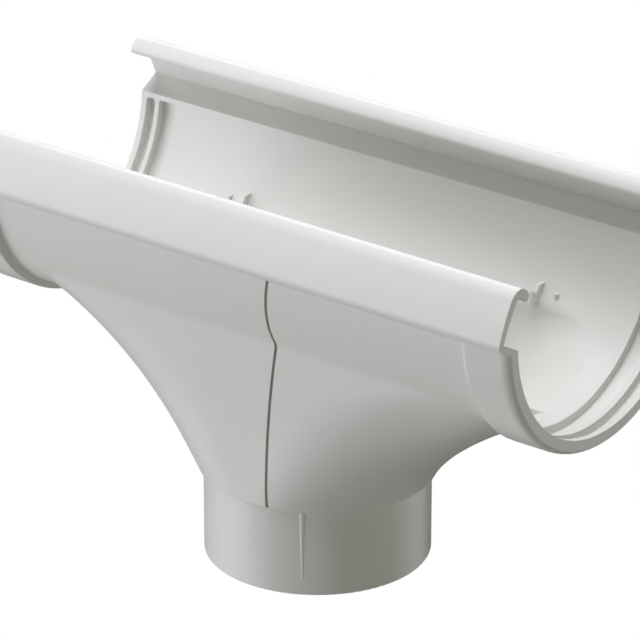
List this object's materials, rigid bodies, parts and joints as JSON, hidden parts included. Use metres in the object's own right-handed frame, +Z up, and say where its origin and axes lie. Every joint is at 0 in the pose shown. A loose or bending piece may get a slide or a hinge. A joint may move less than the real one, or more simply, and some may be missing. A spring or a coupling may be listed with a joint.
{
  "type": "gutter outlet",
  "caption": "Half-round gutter running outlet with end sockets, a flared funnel and a round spigot for the downpipe, moulded in white plastic.",
  "frame": {"origin": "middle of the spigot's foot, at the lowest point of the part", "axes": "+X runs along the gutter, Y runs across it, +Z is up, and -Y is the side with the weld line"},
  "size_m": [0.2464, 0.1258, 0.1516],
  "materials": {
    "white_plastic": "smooth semi-gloss white moulded plastic"
  },
  "bodies": {
    "root": {"outlet_body": "white_plastic"}
  },
  "joints": []
}
